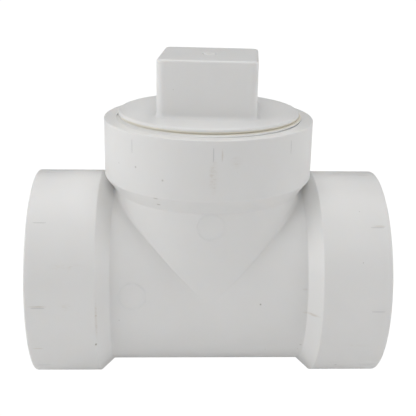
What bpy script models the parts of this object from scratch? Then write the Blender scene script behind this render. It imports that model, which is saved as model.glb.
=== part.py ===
"""Two-inch drainage cleanout tee with a screwed square-head plug.

The run lies along X, the branch rises along +Z, and the origin is where the two
centre lines cross. The tee is one moulding with two solvent sockets and a female
tapered thread. The plug is one moulding with the matching male thread, and it
unscrews about the branch's centre line. Lengths are in metres.
"""
import math

import bmesh
import bpy

MM = 0.001

# Run between its two hubs
RUN_HALF_LENGTH = 57.95 * MM
WATERWAY_RADIUS = 26.25 * MM
BODY_WALL = 4.6 * MM

# Run hubs, with solvent sockets for a pipe 60.3 mm outside
HUB_LENGTH = 21.95 * MM
HUB_WALL = 4.65 * MM
HUB_CHAMFER_LENGTH = 4.4 * MM
SOCKET_MOUTH_RADIUS = 30.35 * MM
SOCKET_TAPER = 0.25 * MM
SOCKET_DEPTH = 19.05 * MM
SOCKET_LEAD_IN = 0.8 * MM

# Branch hub; the neck below it and its waterway are as wide as the run
BRANCH_RIM_HEIGHT = 55.05 * MM
BRANCH_HUB_LENGTH = 19.05 * MM
BRANCH_HUB_WALL = 3.3 * MM
BRANCH_CHAMFER_LENGTH = 4.9 * MM
RIM_ROUND = 0.9 * MM

# Tapered pipe thread, 11.5 turns to the inch, 1 in 16 on the diameter
THREAD_PITCH = 2.2086956522 * MM
THREAD_TAPER = 1 / 32
THREAD_FLANK_ANGLE = math.radians(30)
THREAD_HEIGHT = 1.5 * MM
THREAD_CREST_WIDTH = 0.25 * MM
THREAD_ROOT_RADIUS = 29.45 * MM
THREAD_FADE_TURNS = 0.75
THREAD_END_ROOM = 0.2 * MM
FRONT_CREST_ABOVE_RIM = 0.3 * MM

# Clearances between the two threads
CREST_GAP = 0.35 * MM
FLANK_GAP = 0.25 * MM

# Female thread, the plain bore below it and the cone down to the waterway
FEMALE_THREAD_LENGTH = 18.8 * MM
RELIEF_LENGTH = 1.4 * MM
THROAT_LENGTH = 3.4 * MM
RIM_BEVEL = 0.5 * MM

# Plug
PLUG_STAND_OUT = 1.95 * MM
DISC_OVERHANG = 0.3 * MM
DISC_EDGE = 0.6 * MM
DISC_BEVEL = 0.15 * MM
PLUG_THREAD_LENGTH = 17.6 * MM
PLUG_WALL = 3.4 * MM
PLUG_FLOOR = 3.6 * MM
NOSE_BEVEL = 0.8 * MM

# Square wrench head
HEAD_ACROSS_FLATS = 31.8 * MM
HEAD_HEIGHT = 18.7 * MM
HEAD_CORNER_RADIUS = 1.6 * MM
HEAD_TOP_ROUND = 0.8 * MM
HEAD_WALL = 3.3 * MM
HEAD_TURN = math.radians(-5)

# Gate nub in its dimple on top of the head
NUB_RADIUS = 1.9 * MM
NUB_HEIGHT = 0.9 * MM
NUB_EDGE = 0.25 * MM
NUB_GAP = 0.3 * MM
DIMPLE_DEPTH = 1.0 * MM

# Facets round a turn and on rounded edges, and how far a tool passes the face that it opens
SEGMENTS = 48
ROUND_STEPS = 2
CORNER_STEPS = 3
OVERCUT = 2.0 * MM
MERGE = 0.005 * MM

# Plastic, from the photograph
PVC_WHITE = (0.60, 0.60, 0.58, 1.0)
SATIN = 0.42

# Radii that follow from the bores, walls and thread above
HUB_RADIUS = SOCKET_MOUTH_RADIUS + HUB_WALL
BODY_RADIUS = WATERWAY_RADIUS + BODY_WALL
THREAD_MOUTH_RADIUS = THREAD_ROOT_RADIUS + THREAD_HEIGHT + CREST_GAP
BRANCH_HUB_RADIUS = THREAD_MOUTH_RADIUS + BRANCH_HUB_WALL
DISC_RADIUS = THREAD_ROOT_RADIUS + THREAD_HEIGHT + DISC_OVERHANG

# Heights along the branch that follow from the sizes above
PLUG_TOP = BRANCH_RIM_HEIGHT + PLUG_STAND_OUT
PLUG_NOSE = BRANCH_RIM_HEIGHT - PLUG_THREAD_LENGTH
HEAD_TOP = PLUG_TOP + HEAD_HEIGHT
THREAD_BASE_HALF = THREAD_CREST_WIDTH / 2 + THREAD_HEIGHT * math.tan(THREAD_FLANK_ANGLE)
CREST_AT_START = BRANCH_RIM_HEIGHT + FRONT_CREST_ABOVE_RIM + THREAD_PITCH / 4


def clear_scene():
    """Remove whatever the file holds."""
    for item in list(bpy.data.objects):
        bpy.data.objects.remove(item)


def new_collection(name):
    """Make a collection under the scene's own."""
    collection = bpy.data.collections.new(name)
    bpy.context.scene.collection.children.link(collection)
    return collection


def plastic(name, colour, roughness):
    """Satin rigid plastic."""
    material = bpy.data.materials.new(name)
    material.use_nodes = True
    shader = material.node_tree.nodes["Principled BSDF"]
    shader.inputs["Base Color"].default_value = colour
    shader.inputs["Roughness"].default_value = roughness
    shader.inputs["Metallic"].default_value = 0.0
    return material


def place(name, mesh, collection, material=None):
    """Link a mesh as a named object."""
    item = bpy.data.objects.new(name, mesh)
    collection.objects.link(item)
    if material:
        mesh.materials.append(material)
    return item


def rounded_corner(radius, height, size):
    """Quarter circle from a flat top at the given height down to a side at the given radius."""
    points = []
    for i in range(ROUND_STEPS + 1):
        angle = math.radians(90 - 90 * i / ROUND_STEPS)
        points.append((radius - size + size * math.cos(angle), height - size + size * math.sin(angle)))
    return points


def turned(name, profile, collection, material=None):
    """Revolve (radius, height) points, listed from the top down, about the object's own Z axis."""
    mesh = bpy.data.meshes.new(name)
    edges = [(i, i + 1) for i in range(len(profile) - 1)]
    mesh.from_pydata([(radius, 0.0, height) for radius, height in profile], edges, [])
    item = place(name, mesh, collection, material)
    screw = item.modifiers.new("turn", "SCREW")
    screw.axis = "Z"
    screw.angle = math.tau
    screw.steps = SEGMENTS
    screw.render_steps = SEGMENTS
    screw.use_merge_vertices = True
    screw.merge_threshold = MERGE
    return item


def lay_along_x(item):
    """Turn an object built about Z so that it lies along X."""
    item.rotation_euler = (0.0, math.radians(90), 0.0)


def boolean(item, other, operation):
    """Join an object with another one, or cut it, and hide the other one."""
    modifier = item.modifiers.new(other.name, "BOOLEAN")
    modifier.operation = operation
    modifier.object = other
    modifier.solver = "EXACT"
    other.hide_render = True
    other.display_type = "WIRE"


def tapered(height, rim_radius):
    """Radius at a height, on the thread's taper, of a surface that has rim_radius at the branch rim."""
    return rim_radius + (height - BRANCH_RIM_HEIGHT) * THREAD_TAPER


def threaded_solid(name, root, crest_half, base_half, first, turns, below, above, collection):
    """Closed solid with a tapered right-hand thread between the rings below and the rings above.

    Each column of points is the section at one angle, where tooth k stands at
    first + pitch * (k + angle / full turn). The last column therefore meets the
    first one a tooth higher, and the tooth has no height at either end.
    """
    shape = bmesh.new()

    def ring_point(radius, height, angle):
        return shape.verts.new((radius * math.cos(angle), radius * math.sin(angle), height))

    def tooth_points(turn, angle):
        centre = first + THREAD_PITCH * turn
        fade = min(1.0, turn / THREAD_FADE_TURNS, (turns - 1 / SEGMENTS - turn) / THREAD_FADE_TURNS)
        rise = THREAD_HEIGHT * max(0.0, fade)
        section = ((-base_half, 0.0), (-crest_half, rise), (crest_half, rise), (base_half, 0.0))
        return [ring_point(tapered(centre + dz, root) + dr, centre + dz, angle) for dz, dr in section]

    low, teeth, high = [], [], []
    for i in range(SEGMENTS):
        angle = math.tau * i / SEGMENTS
        low.append([ring_point(radius, height, angle) for radius, height in below])
        teeth.append([tooth_points(k + i / SEGMENTS, angle) for k in range(turns)])
        high.append([ring_point(radius, height, angle) for radius, height in above])

    for i in range(SEGMENTS):
        j = (i + 1) % SEGMENTS
        seam = 1 if j == 0 else 0
        for rings in (low, high):
            for a in range(len(rings[0]) - 1):
                shape.faces.new((rings[i][a], rings[j][a], rings[j][a + 1], rings[i][a + 1]))
        for k in range(turns - seam):
            left, right = teeth[i][k], teeth[j][k + seam]
            for a in range(3):
                shape.faces.new((left[a], right[a], right[a + 1], left[a + 1]))
            if k + 1 + seam < turns:
                shape.faces.new((left[3], right[3], teeth[j][k + 1 + seam][0], teeth[i][k + 1][0]))
        if seam:
            start_tooth, end_tooth = teeth[j][0], teeth[i][-1]
            shape.faces.new((low[i][-1], low[j][-1], *start_tooth, teeth[j][1][0], teeth[i][0][0]))
            shape.faces.new((teeth[i][-2][3], teeth[j][-1][3], high[j][0], high[i][0], *reversed(end_tooth)))
        else:
            shape.faces.new((low[i][-1], low[j][-1], teeth[j][0][0], teeth[i][0][0]))
            shape.faces.new((teeth[i][-1][3], teeth[j][-1][3], high[j][0], high[i][0]))
    shape.faces.new([column[0] for column in reversed(low)])
    shape.faces.new([column[-1] for column in high])

    mesh = bpy.data.meshes.new(name)
    shape.to_mesh(mesh)
    shape.free()
    return place(name, mesh, collection)


def thread_start(lowest):
    """Height of the first crest at angle 0, a whole number of turns below the crest at the rim."""
    turns = math.floor((CREST_AT_START - lowest) / THREAD_PITCH)
    return CREST_AT_START - turns * THREAD_PITCH


def thread_turns(first, highest):
    """Turns from the first crest until the thread still has its full height at the highest level."""
    return math.ceil((highest - first) / THREAD_PITCH + THREAD_FADE_TURNS) + 1


def square_block(name, width, bottom, top, corner, top_round, collection):
    """Square prism with rounded upright corners and a rounded top."""
    shape = bmesh.new()
    bmesh.ops.create_cube(shape, size=1.0)
    for vertex in shape.verts:
        vertex.co.x *= width
        vertex.co.y *= width
        vertex.co.z = top if vertex.co.z > 0 else bottom
    uprights = [e for e in shape.edges if abs(e.verts[0].co.z - e.verts[1].co.z) > MERGE]
    bmesh.ops.bevel(shape, geom=uprights, offset=corner, segments=CORNER_STEPS, profile=0.5, affect="EDGES")
    rim = [e for e in shape.edges if min(v.co.z for v in e.verts) > top - MERGE]
    bmesh.ops.bevel(shape, geom=rim, offset=top_round, segments=ROUND_STEPS, profile=0.5, affect="EDGES")
    mesh = bpy.data.meshes.new(name)
    shape.to_mesh(mesh)
    shape.free()
    return place(name, mesh, collection)


def run_outside(tools):
    """Solid of the run, its two hubs and their chamfers, along X."""
    shoulder = RUN_HALF_LENGTH - HUB_LENGTH
    right = [(0.0, RUN_HALF_LENGTH)]
    right += rounded_corner(HUB_RADIUS, RUN_HALF_LENGTH, RIM_ROUND)
    right += [(HUB_RADIUS, shoulder), (BODY_RADIUS, shoulder - HUB_CHAMFER_LENGTH)]
    left = [(radius, -height) for radius, height in reversed(right)]
    item = turned("run_outside", right + left, tools)
    lay_along_x(item)
    return item


def branch_outside(tools):
    """Solid of the branch neck and hub, up from the run's centre line."""
    shoulder = BRANCH_RIM_HEIGHT - BRANCH_HUB_LENGTH
    profile = [(0.0, BRANCH_RIM_HEIGHT)]
    profile += rounded_corner(BRANCH_HUB_RADIUS, BRANCH_RIM_HEIGHT, RIM_ROUND)
    profile += [(BRANCH_HUB_RADIUS, shoulder), (BODY_RADIUS, shoulder - BRANCH_CHAMFER_LENGTH)]
    profile += [(BODY_RADIUS, 0.0), (0.0, 0.0)]
    return turned("branch_outside", profile, tools)


def run_bore(tools):
    """Cutter for both sockets, their stops and the waterway between them."""
    stop = RUN_HALF_LENGTH - SOCKET_DEPTH
    mouth = SOCKET_MOUTH_RADIUS + SOCKET_LEAD_IN
    right = [(0.0, RUN_HALF_LENGTH + OVERCUT), (mouth, RUN_HALF_LENGTH + OVERCUT), (mouth, RUN_HALF_LENGTH)]
    right += [(SOCKET_MOUTH_RADIUS, RUN_HALF_LENGTH - SOCKET_LEAD_IN)]
    right += [(SOCKET_MOUTH_RADIUS - SOCKET_TAPER, stop), (WATERWAY_RADIUS, stop)]
    left = [(radius, -height) for radius, height in reversed(right)]
    item = turned("run_bore", right + left, tools)
    lay_along_x(item)
    return item


def branch_bore(tools):
    """Cutter for the female thread, the relief below it and the throat down to the waterway."""
    root = THREAD_ROOT_RADIUS + CREST_GAP
    narrowing = CREST_GAP * math.tan(THREAD_FLANK_ANGLE)
    crest_half = THREAD_CREST_WIDTH / 2 - narrowing + FLANK_GAP
    base_half = THREAD_BASE_HALF - narrowing + FLANK_GAP
    thread_end = BRANCH_RIM_HEIGHT - FEMALE_THREAD_LENGTH
    relief_end = thread_end - RELIEF_LENGTH
    throat_end = relief_end - THROAT_LENGTH
    below = [(WATERWAY_RADIUS, 0.0), (WATERWAY_RADIUS, throat_end)]
    below += [(tapered(relief_end, root), relief_end), (tapered(thread_end, root), thread_end)]
    first = thread_start(thread_end + THREAD_END_ROOM + base_half)
    turns = thread_turns(first, BRANCH_RIM_HEIGHT + base_half)
    top = first + THREAD_PITCH * turns + base_half + OVERCUT
    above = [(tapered(top, root), top)]
    return threaded_solid("branch_bore", root, crest_half, base_half, first, turns, below, above, tools)


def rim_bevel(tools):
    """Cutter for the small bevel at the mouth of the female thread."""
    wide = THREAD_MOUTH_RADIUS + RIM_BEVEL
    profile = [(0.0, BRANCH_RIM_HEIGHT + OVERCUT), (wide, BRANCH_RIM_HEIGHT + OVERCUT)]
    profile += [(wide, BRANCH_RIM_HEIGHT), (THREAD_MOUTH_RADIUS, BRANCH_RIM_HEIGHT - RIM_BEVEL)]
    profile += [(0.0, BRANCH_RIM_HEIGHT - RIM_BEVEL)]
    return turned("rim_bevel", profile, tools)


def build_tee(parts, tools, material):
    """The tee: run and branch joined, then bored."""
    tee = run_outside(parts)
    tee.name = "tee_body"
    tee.data.materials.append(material)
    boolean(tee, branch_outside(tools), "UNION")
    boolean(tee, run_bore(tools), "DIFFERENCE")
    boolean(tee, branch_bore(tools), "DIFFERENCE")
    boolean(tee, rim_bevel(tools), "DIFFERENCE")
    return tee


def plug_top_trim(tools):
    """Cutter that ends the male thread inside the disc's thickness."""
    level = PLUG_TOP - DISC_EDGE / 2
    high = HEAD_TOP
    wide = DISC_RADIUS + OVERCUT
    return turned("plug_top_trim", [(0.0, high), (wide, high), (wide, level), (0.0, level)], tools)


def plug_disc(tools):
    """Thin disc that closes the plug's top."""
    under = PLUG_TOP - DISC_EDGE
    profile = [(0.0, PLUG_TOP), (DISC_RADIUS - DISC_BEVEL, PLUG_TOP), (DISC_RADIUS, PLUG_TOP - DISC_BEVEL)]
    profile += [(DISC_RADIUS, under), (0.0, under)]
    return turned("plug_disc", profile, tools)


def plug_hollow(tools):
    """Cutter for the round hollow inside the threaded skirt."""
    inside = THREAD_ROOT_RADIUS - PLUG_WALL
    ceiling = PLUG_TOP - PLUG_FLOOR
    floor = PLUG_NOSE - OVERCUT
    profile = [(0.0, ceiling)]
    profile += rounded_corner(tapered(ceiling, inside), ceiling, PLUG_WALL / 2)
    profile += [(tapered(floor, inside), floor), (0.0, floor)]
    return turned("plug_hollow", profile, tools)


def nub_dimple(tools):
    """Cutter for the dimple round the gate nub."""
    wide = NUB_RADIUS + NUB_GAP
    high = HEAD_TOP + OVERCUT
    low = HEAD_TOP - DIMPLE_DEPTH
    return turned("nub_dimple", [(0.0, high), (wide, high), (wide, low), (0.0, low)], tools)


def build_plug(parts, tools, material):
    """The plug: threaded skirt, disc and square head, hollow from below."""
    root, base_half = THREAD_ROOT_RADIUS, THREAD_BASE_HALF
    bevel_top = PLUG_NOSE + NOSE_BEVEL
    below = [(tapered(PLUG_NOSE, root) - NOSE_BEVEL, PLUG_NOSE), (tapered(bevel_top, root), bevel_top)]
    first = thread_start(bevel_top + THREAD_END_ROOM + base_half)
    turns = thread_turns(first, PLUG_TOP + base_half)
    top = first + THREAD_PITCH * turns + base_half + OVERCUT
    above = [(tapered(top, root), top)]
    crest_half = THREAD_CREST_WIDTH / 2
    plug = threaded_solid("cleanout_plug", root, crest_half, base_half, first, turns, below, above, parts)
    plug.data.materials.append(material)
    head_foot = PLUG_TOP - DISC_EDGE / 2
    head = square_block(
        "wrench_head", HEAD_ACROSS_FLATS, head_foot, HEAD_TOP, HEAD_CORNER_RADIUS, HEAD_TOP_ROUND, tools
    )
    inside = HEAD_ACROSS_FLATS - 2 * HEAD_WALL
    ceiling = HEAD_TOP - HEAD_WALL
    hollow_foot = PLUG_TOP - PLUG_FLOOR - OVERCUT
    hollow = square_block(
        "head_hollow", inside, hollow_foot, ceiling, HEAD_CORNER_RADIUS, HEAD_TOP_ROUND, tools
    )
    for square in (head, hollow):
        square.rotation_euler = (0.0, 0.0, HEAD_TURN)
    boolean(plug, plug_top_trim(tools), "DIFFERENCE")
    boolean(plug, plug_disc(tools), "UNION")
    boolean(plug, head, "UNION")
    boolean(plug, plug_hollow(tools), "DIFFERENCE")
    boolean(plug, hollow, "DIFFERENCE")
    boolean(plug, nub_dimple(tools), "DIFFERENCE")
    return plug


def build_nub(parts, material):
    """Gate nub, standing a little proud of the head's top."""
    foot = HEAD_TOP - DIMPLE_DEPTH + NUB_GAP
    top = foot + NUB_HEIGHT
    profile = [(0.0, top), (NUB_RADIUS - NUB_EDGE, top), (NUB_RADIUS, top - NUB_EDGE)]
    profile += [(NUB_RADIUS, foot), (0.0, foot)]
    return turned("plug_gate_nub", profile, parts, material)


def main():
    """Build the tee, the plug and the plug's gate nub."""
    clear_scene()
    parts = new_collection("cleanout_tee")
    tools = new_collection("tools")
    pvc = plastic("white_pvc", PVC_WHITE, SATIN)
    build_tee(parts, tools, pvc)
    screw_axis = bpy.data.objects.new("screw_axis", None)
    parts.objects.link(screw_axis)
    for piece in (build_plug(parts, tools, pvc), build_nub(parts, pvc)):
        piece.parent = screw_axis


main()
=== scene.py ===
"""Looks of a drainage cleanout tee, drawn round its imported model.

The file is laid out as an add-on. Property groups hold the sizes and colours, each
operator makes one piece or group of like pieces, and main() calls them in order.
Lengths are in metres, with the run along X and the branch up Z.
"""
import math
from collections import namedtuple

import bmesh
import bpy
import numpy as np
from bpy.props import FloatProperty, FloatVectorProperty, IntProperty, PointerProperty
from mathutils import Matrix, Vector


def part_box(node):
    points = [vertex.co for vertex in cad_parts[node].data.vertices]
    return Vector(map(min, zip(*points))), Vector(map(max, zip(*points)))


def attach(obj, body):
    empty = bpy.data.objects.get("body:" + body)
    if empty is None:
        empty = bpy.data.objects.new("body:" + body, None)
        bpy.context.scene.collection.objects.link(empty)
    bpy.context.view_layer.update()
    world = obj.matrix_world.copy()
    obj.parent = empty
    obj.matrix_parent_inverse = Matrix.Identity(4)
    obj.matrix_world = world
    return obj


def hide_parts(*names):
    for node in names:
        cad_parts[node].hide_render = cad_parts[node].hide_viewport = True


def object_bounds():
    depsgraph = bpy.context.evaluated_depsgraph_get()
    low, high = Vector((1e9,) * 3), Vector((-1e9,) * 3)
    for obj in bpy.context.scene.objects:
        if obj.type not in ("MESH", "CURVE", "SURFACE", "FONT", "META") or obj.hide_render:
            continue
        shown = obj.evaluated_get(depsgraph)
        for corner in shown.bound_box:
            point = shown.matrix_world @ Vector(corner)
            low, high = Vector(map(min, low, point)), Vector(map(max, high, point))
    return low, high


bl_info = {
    "name": "Cleanout Tee Looks",
    "version": (1, 0, 0),
    "blender": (4, 5, 0),
    "location": "View3D > Sidebar > Cleanout Tee",
    "description": "Moulded surface, plastic finish and studio of a drainage cleanout tee",
    "category": "Object",
}

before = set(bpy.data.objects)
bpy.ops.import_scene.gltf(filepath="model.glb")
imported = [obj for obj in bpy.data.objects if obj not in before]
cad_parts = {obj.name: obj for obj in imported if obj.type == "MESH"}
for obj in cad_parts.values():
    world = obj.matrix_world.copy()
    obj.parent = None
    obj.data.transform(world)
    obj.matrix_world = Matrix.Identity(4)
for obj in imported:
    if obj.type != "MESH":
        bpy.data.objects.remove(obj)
CAD_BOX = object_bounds()
_, TEE_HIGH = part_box("tee_body")
PLUG_LOW, PLUG_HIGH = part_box("cleanout_plug")
NUB_LOW, NUB_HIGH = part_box("plug_gate_nub")

MM = 0.001
MERGE = 0.001 * MM
RUN_OUT = 0.2 * MM
TURN = math.tau
FRONT = math.radians(-90)
PHOTO_WIDTH = 416
SENSOR_WIDTH = 36.0
NEAREST, FARTHEST = 200 * MM, 330 * MM


def length(name, description, default):
    """A size in metres that a user would change."""
    return FloatProperty(name=name, description=description, default=default, unit="LENGTH", precision=5)


def angle(name, description, degrees):
    """An angle that a user would change."""
    return FloatProperty(name=name, description=description, default=math.radians(degrees), subtype="ANGLE")


def share(name, description, default):
    """A plain number, mostly from 0 to 1."""
    return FloatProperty(name=name, description=description, default=default)


def colour(name, description, default):
    """A linear colour."""
    return FloatVectorProperty(name=name, description=description, default=default, subtype="COLOR", size=3)


class TeeSizes(bpy.types.PropertyGroup):
    """Sizes of the moulded tee"""

    run_half_length: length("Run half length", "From the branch's axis to a hub's face", TEE_HIGH.x)
    hub_radius: length("Hub radius", "Outside radius of the run hubs", 34.92 * MM)
    body_radius: length("Body radius", "Outside radius of the run and of the branch neck", 30.85 * MM)
    hub_foot: length("Hub foot", "Distance along the run where the hub's chamfer starts", 31.6 * MM)
    hub_edge: length("Hub edge", "Distance along the run where the chamfer meets the hub", 36.0 * MM)
    rim_height: length("Rim height", "Height of the branch rim over the run's axis", TEE_HIGH.z)
    branch_radius: length("Branch hub radius", "Outside radius of the branch hub", 34.6 * MM)
    branch_foot: length("Branch foot", "Height where the branch chamfer starts", 31.1 * MM)
    branch_edge: length("Branch edge", "Height where the chamfer meets the branch hub", 36.0 * MM)
    hub_round: length("Hub rounding", "Radius of the outer edge of a run hub's mouth", 0.5 * MM)
    rim_round: length("Rim rounding", "Radius of the outer edge of the branch rim", 0.3 * MM)
    edge_ease: length("Edge easing", "Width over which a chamfer turns into its hub", 0.28 * MM)
    fillet: length("Fillet", "Reach of the fillet between run and branch at the top", 2.6 * MM)
    bore_radius: length("Bore radius", "Radius of the waterways", 26.25 * MM)
    socket_mouth: length("Socket mouth", "Radius of a socket at its mouth", 30.35 * MM)
    socket_taper: length("Socket taper", "How much narrower a socket is at its stop", 0.25 * MM)
    socket_depth: length("Socket depth", "From the hub's face to the pipe stop", 19.05 * MM)
    lead_in: length("Lead-in", "Chamfer at the mouth of a socket", 0.8 * MM)


class ThreadSizes(bpy.types.PropertyGroup):
    """Sizes of the tapered pipe thread"""

    pitch: length("Pitch", "Rise of the thread in one turn", 2.208696 * MM)
    taper: share("Taper", "Radius gained for each unit of height", 1 / 32)
    root_radius: length("Root radius", "Root radius of the plug's thread at the rim", 29.4 * MM)
    height: length("Thread height", "From the root to the crest", 1.3 * MM)
    crest_half: length("Half crest", "Half the width of the crest's flat", 0.125 * MM)
    flank: angle("Flank angle", "Angle of a flank from the radial direction", 30)
    front_crest: length("Front crest", "Height of the crest over the rim at the front", 0.05 * MM)
    crest_gap: length("Crest gap", "Room between crest and root", 0.06 * MM)
    flank_gap: length("Flank gap", "Room between the flanks, along the axis", 0.08 * MM)
    female_length: length("Female thread length", "From the rim down to the thread's end", 18.8 * MM)
    relief: length("Relief", "Plain bore below the female thread", 1.4 * MM)
    throat: length("Throat", "Height of the cone from the relief to the waterway", 3.4 * MM)
    mouth: length("Mouth radius", "Radius to which the female thread is opened at the rim", 30.5 * MM)
    fade: share("Fade", "Turns over which the thread rises to its full height", 0.75)


class PlugSizes(bpy.types.PropertyGroup):
    """Sizes of the screwed plug"""

    top: length("Disc top", "Height of the disc's top face", 57.42 * MM)
    disc_radius: length("Disc radius", "Radius of the disc", 29.9 * MM)
    disc_edge: length("Disc edge", "Thickness of the disc, whose edge is fully rounded", 1.6 * MM)
    head_half: length("Half across flats", "Half the width of the square head", 15.9 * MM)
    head_corner: length("Head corner", "Radius of the head's upright corners", 2.5 * MM)
    head_round: length("Head top rounding", "Radius of the head's top edges", 0.8 * MM)
    head_fillet: length("Head fillet", "Radius of the fillet at the foot of the head", 1.2 * MM)
    head_turn: angle("Head turn", "How far the head is turned about the branch's axis", -5)
    head_wall: length("Head wall", "Wall thickness of the head", 3.3 * MM)
    skirt_wall: length("Skirt wall", "From the thread's root to the skirt's hollow", 3.4 * MM)
    floor: length("Floor", "From the disc's top to the ceiling of the skirt's hollow", 3.6 * MM)
    nose_bevel: length("Nose bevel", "Bevel at the plug's lower end", 0.8 * MM)
    dimple_depth: length("Dimple depth", "Depth of the dimple round the gate nub", 1.0 * MM)
    dimple_gap: length("Dimple gap", "Room between the nub and its dimple", 0.3 * MM)


class MarkSizes(bpy.types.PropertyGroup):
    """Sizes of the raised lines that the mould leaves"""

    count: IntProperty(name="Marks", description="Alignment marks round a hub", default=8, min=1)
    mark_length: length("Mark length", "Length of an alignment mark", 5.6 * MM)
    mark_width: length("Mark width", "Width of an alignment mark", 0.3 * MM)
    mark_inset: length("Mark inset", "From the hub's face to the mark", 1.5 * MM)
    proud: length("Proud", "How far a line stands out of the surface", 0.06 * MM)
    ring_radius: length("Ring radius", "Radius of a moulded ring", 4.2 * MM)
    ring_width: length("Ring width", "Width of a moulded ring's line", 0.75 * MM)


class PlasticLooks(bpy.types.PropertyGroup):
    """Colour and finish of the plastic"""

    tee_colour: colour("Tee colour", "Base colour of the tee's plastic", (0.885, 0.88, 0.868))
    plug_colour: colour("Plug colour", "Base colour of the plug's plastic", (0.885, 0.882, 0.872))
    # Painted shade: the raised alignment lines take the tee's colour darkened by this share
    mark_painted_shade: share("Mark shade", "Brightness of the raised lines against the tee", 0.8)
    # Painted shade: a warm darkening laid in the crease under the plug's disc, where the thread meets the rim
    painted_shade_colour: colour("Film colour", "Colour of the film under the disc", (0.82, 0.76, 0.60))
    painted_shade_amount: share("Film amount", "How much of the film's colour shows", 0.6)
    speck_colour: colour("Speck colour", "Colour of burnt specks in the plastic", (0.30, 0.27, 0.22))
    scuff_colour: colour("Scuff colour", "Colour of dirt rubbed into scuffs", (0.55, 0.47, 0.36))
    depth_share: share("Light depth share", "Share of the light that scatters under the surface", 0.35)
    depth: length("Light depth", "How far light travels under the surface", 0.7 * MM)
    roughness: share("Roughness", "Roughness of the satin surface", 0.33)
    grain_depth: length("Grain depth", "Depth of the moulded grain", 0.02 * MM)


class StageLooks(bpy.types.PropertyGroup):
    """Camera, floor and lights"""

    camera_place: FloatVectorProperty(
        name="Camera place", description="Where the camera stands", size=3, unit="LENGTH",
        default=(-10.84 * MM, -268.34 * MM, 112.49 * MM),
    )
    camera_yaw: angle("Camera yaw", "Turn to the right of the +Y direction", 2.464)
    camera_pitch: angle("Camera pitch", "Tilt below the horizon", 18.472)
    camera_roll: angle("Camera roll", "Turn about the view's axis", 1.073)
    lens: share("Lens", "Focal length for a 36 mm sensor, in millimetres", 70.86)
    shift: share("Shift", "Sideways shift as a share of the frame", -0.00233)
    floor_radius: length("Floor radius", "Radius of the floor", 3.0)
    floor_colour: colour("Floor colour", "Colour of the floor", (0.92, 0.92, 0.92))
    light_distance: length("Light distance", "From the object to each light", 0.9)
    world_strength: share("World strength", "Light from the studio's walls", 0.06)
    table_strength: share("Table strength", "Light that the lit table throws up at the object", 0.04)
    seen_strength: share("Seen strength", "How bright walls and floor look", 1.05)


def sizes_of(context):
    """The property groups by a short name."""
    scene = context.scene
    return scene.tee_sizes, scene.thread_sizes, scene.plug_sizes


class Weave:
    """Collects points and the quads between them, then makes the mesh."""

    def __init__(self):
        self.points = []
        self.faces = []
        self.count = 0

    def add(self, points):
        """Add points with any leading shape and give their numbers in that shape."""
        points = np.asarray(points, float)
        numbers = np.arange(points[..., 0].size).reshape(points.shape[:-1]) + self.count
        self.points.append(points.reshape(-1, 3))
        self.count += numbers.size
        return numbers

    def join(self, rows, flip=False):
        """Quads between neighbouring columns of rows[column, row]; the last column meets the first."""
        self.strip(rows, np.roll(rows, -1, axis=0), flip)

    def strip(self, here, there, flip=False):
        """Quads between each column of here and the same column of there."""
        quads = np.stack([here[..., :-1], here[..., 1:], there[..., 1:], there[..., :-1]], -1).reshape(-1, 4)
        self.faces.append(quads[:, ::-1] if flip else quads)

    def fan(self, ring, centre, flip=False):
        """Triangles, kept as quads with one doubled point, from a ring to a centre point."""
        after = np.roll(ring, -1)
        hub = np.full_like(ring, centre)
        quads = np.stack([hub, ring, after, hub], -1)
        self.faces.append(quads[:, ::-1] if flip else quads)

    def mesh(self, name):
        """One clean mesh with its doubles merged and its faces turned outwards."""
        points = np.concatenate(self.points)
        shape = bmesh.new()
        verts = [shape.verts.new(point) for point in points]
        for quad in np.concatenate(self.faces).tolist():
            corners = list(dict.fromkeys(quad))
            if len(corners) > 2:
                shape.faces.new([verts[number] for number in corners])
        bmesh.ops.remove_doubles(shape, verts=shape.verts, dist=MERGE)
        bmesh.ops.dissolve_degenerate(shape, edges=shape.edges, dist=MERGE)
        bmesh.ops.recalc_face_normals(shape, faces=shape.faces)
        open_edges = sum(len(edge.link_faces) != 2 for edge in shape.edges)
        if open_edges:
            raise RuntimeError(f"{name} has {open_edges} open or crowded edges")
        mesh = bpy.data.meshes.new(name)
        shape.to_mesh(mesh)
        shape.free()
        mesh.shade_smooth()
        mesh.set_sharp_from_angle(angle=math.radians(50))
        return mesh


def link_piece(name, mesh, material, body):
    """Put a finished mesh in the scene, on its body and in its material slot."""
    mesh.materials.clear()
    mesh.materials.append(material)
    piece = bpy.data.objects.new(name, mesh)
    bpy.context.scene.collection.objects.link(piece)
    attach(piece, body)
    return piece


def soft_ramp(distance, width):
    """Nothing below zero and the distance above it, with the corner eased over the width."""
    eased = (distance + width / 2) ** 2 / (2 * width)
    return np.where(distance <= -width / 2, 0.0, np.where(distance >= width / 2, distance, eased))


def flared(base, hub, foot, edge, ease):
    """Radius along an axis that rises from base to hub by a chamfer between foot and edge."""
    slope = (hub - base) / (edge - foot)

    def radius(along):
        return base + slope * (soft_ramp(along - foot, ease) - soft_ramp(along - edge, ease))

    return radius


def run_profile(tee):
    """Outside radius of the run at a distance along it."""
    return flared(tee.body_radius, tee.hub_radius, tee.hub_foot, tee.hub_edge, tee.edge_ease)


def branch_profile(tee):
    """Outside radius of the branch at a height."""
    return flared(tee.body_radius, tee.branch_radius, tee.branch_foot, tee.branch_edge, tee.edge_ease)


def plain(base):
    """Constant radius along an axis."""
    return lambda along: base + 0.0 * along


def graded(count):
    """Steps from 0 to 1 that are short at first."""
    return np.linspace(0.0, 1.0, count) ** 2


def arc(centre, radius, start, end, steps):
    """(along, radius) points on a circle from one angle to another, in degrees."""
    turns = np.radians(np.linspace(start, end, steps + 1))
    return [(centre[0] + radius * math.cos(t), centre[1] + radius * math.sin(t)) for t in turns]


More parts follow.
